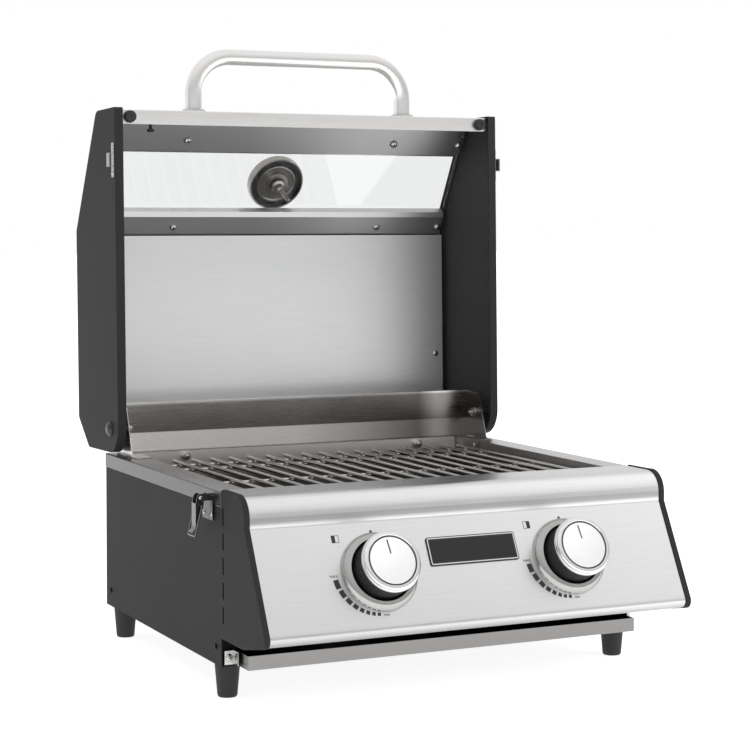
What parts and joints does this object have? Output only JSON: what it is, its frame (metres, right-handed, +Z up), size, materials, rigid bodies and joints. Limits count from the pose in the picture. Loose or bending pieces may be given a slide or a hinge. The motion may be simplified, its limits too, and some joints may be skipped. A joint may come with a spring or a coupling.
{
  "type": "portable gas grill",
  "caption": "Tabletop gas grill: steel firebox on short feet, sloping console with knobs, wire grate, pull-out tray and a hinged windowed lid with a tube handle, shown open.",
  "frame": {"origin": "centre of the overall box on the ground plane under the feet", "axes": "+Z up, -Y towards the console, +X to the user's right"},
  "size_m": [0.602, 0.6892, 0.7843],
  "materials": {
    "brushed_stainless": "fine brushed stainless sheet",
    "liner_stainless": "satin stainless sheet",
    "grey_stainless": "dull grey stainless",
    "dark_grey_paint": "satin powder coat",
    "black_paint": "satin black paint",
    "black_rubber": "moulded rubber",
    "black_plastic": "moulded heat-resistant plastic",
    "knob_chrome": "satin chrome",
    "window_glass": "clear tempered glass",
    "valve_brass": "plain brass",
    "zinc_steel": "bright zinc plate",
    "dial_aluminium": "spun aluminium"
  },
  "bodies": {
    "base": {"rim_frame": "brushed_stainless", "firebox": "brushed_stainless", "hinge_upstand": "brushed_stainless", "console_panel": "brushed_stainless", "bezel_left": "brushed_stainless", "bezel_right": "brushed_stainless", "burner_left": "brushed_stainless", "burner_right": "brushed_stainless", "badge_plate": "grey_stainless", "flame_tamer_left": "grey_stainless", "flame_tamer_right": "grey_stainless", "rear_panel": "dark_grey_paint", "side_panel_left": "dark_grey_paint", "side_panel_right": "dark_grey_paint", "console_end_left": "dark_grey_paint", "console_end_right": "dark_grey_paint", "front_lower_panel": "black_paint", "console_underside": "black_paint", "foot_front_left": "black_rubber", "foot_front_right": "black_rubber", "foot_rear_left": "black_rubber", "foot_rear_right": "black_rubber", "gas_manifold": "valve_brass", "gas_inlet": "valve_brass", "valve_left": "valve_brass", "valve_right": "valve_brass", "heat_shield": "zinc_steel", "hinge_bolt_left": "zinc_steel", "hinge_bolt_right": "zinc_steel", "tray_clip_left": "zinc_steel", "tray_clip_right": "zinc_steel", "latch_base_left": "zinc_steel", "latch_base_right": "zinc_steel"},
    "lid": {"lid_skin": "brushed_stainless", "lid_liner": "liner_stainless", "lid_glass": "window_glass", "glass_retainer_upper": "grey_stainless", "glass_retainer_lower": "grey_stainless", "lid_handle": "brushed_stainless", "thermometer_case": "dial_aluminium", "thermometer_probe": "zinc_steel", "lid_cheek_left": "dark_grey_paint", "lid_cheek_right": "dark_grey_paint", "latch_catch_left": "zinc_steel", "latch_catch_right": "zinc_steel", "lid_bumper_left": "black_rubber", "lid_bumper_right": "black_rubber"},
    "grease_tray": {"grease_tray": "brushed_stainless"},
    "cooking_grate": {"cooking_grate": "brushed_stainless"},
    "thermometer_needle": {"thermometer_needle": "black_paint"},
    "valve_stem_left": {"valve_stem_left": "zinc_steel"},
    "knob_left": {"knob_skirt_left": "black_plastic", "knob_cap_left": "knob_chrome"},
    "latch_lever_left": {"latch_lever_left": "zinc_steel"},
    "latch_bail_left": {"latch_bail_left": "zinc_steel"},
    "valve_stem_right": {"valve_stem_right": "zinc_steel"},
    "knob_right": {"knob_skirt_right": "black_plastic", "knob_cap_right": "knob_chrome"},
    "latch_lever_right": {"latch_lever_right": "zinc_steel"},
    "latch_bail_right": {"latch_bail_right": "zinc_steel"}
  },
  "joints": [
    {"name": "lid_hinge", "type": "hinge", "parent": "base", "child": "lid", "pos_m": [0, 0.1978, 0.2774], "axis": [1, 0, 0], "range_deg": [0, 91.3]},
    {"name": "grease_tray_slide", "type": "slide", "parent": "base", "child": "grease_tray", "axis": [0, -1, 0], "range_m": [0, 0.42]},
    {"name": "cooking_grate_lift", "type": "slide", "parent": "base", "child": "cooking_grate", "axis": [0, 0, 1], "range_m": [0, 0.08]},
    {"name": "thermometer_needle_turn", "type": "hinge", "parent": "lid", "child": "thermometer_needle", "pos_m": [0, 0.30682, 0.60451], "axis": [0, -0.8698, -0.4935], "range_deg": [0, 270], "stiffness_Nm_per_rad": 0.001},
    {"name": "knob_push_left", "type": "slide", "parent": "base", "child": "valve_stem_left", "axis": [0, 0.8844, -0.4668], "range_m": [0, 0.003], "stiffness_N_per_m": 700, "springref_m": -0.004},
    {"name": "knob_turn_left", "type": "hinge", "parent": "valve_stem_left", "child": "knob_left", "pos_m": [-0.1245, -0.29403, 0.15394], "axis": [0, -0.8844, 0.4668], "range_deg": [0, 180]},
    {"name": "latch_lever_hinge_left", "type": "hinge", "parent": "base", "child": "latch_lever_left", "pos_m": [-0.2905, -0.1552, 0.2315], "axis": [0, -1, 0], "range_deg": [-150, 0]},
    {"name": "latch_bail_hinge_left", "type": "hinge", "parent": "latch_lever_left", "child": "latch_bail_left", "pos_m": [-0.2905, -0.1552, 0.2225], "axis": [0, 1, 0], "range_deg": [-28, 172]},
    {"name": "knob_push_right", "type": "slide", "parent": "base", "child": "valve_stem_right", "axis": [0, 0.8844, -0.4668], "range_m": [0, 0.003], "stiffness_N_per_m": 700, "springref_m": -0.004},
    {"name": "knob_turn_right", "type": "hinge", "parent": "valve_stem_right", "child": "knob_right", "pos_m": [0.1245, -0.29403, 0.15394], "axis": [0, -0.8844, 0.4668], "range_deg": [0, 180]},
    {"name": "latch_lever_hinge_right", "type": "hinge", "parent": "base", "child": "latch_lever_right", "pos_m": [0.2905, -0.1552, 0.2315], "axis": [0, 1, 0], "range_deg": [-150, 0]},
    {"name": "latch_bail_hinge_right", "type": "hinge", "parent": "latch_lever_right", "child": "latch_bail_right", "pos_m": [0.2905, -0.1552, 0.2225], "axis": [0, -1, 0], "range_deg": [-28, 172]}
  ]
}
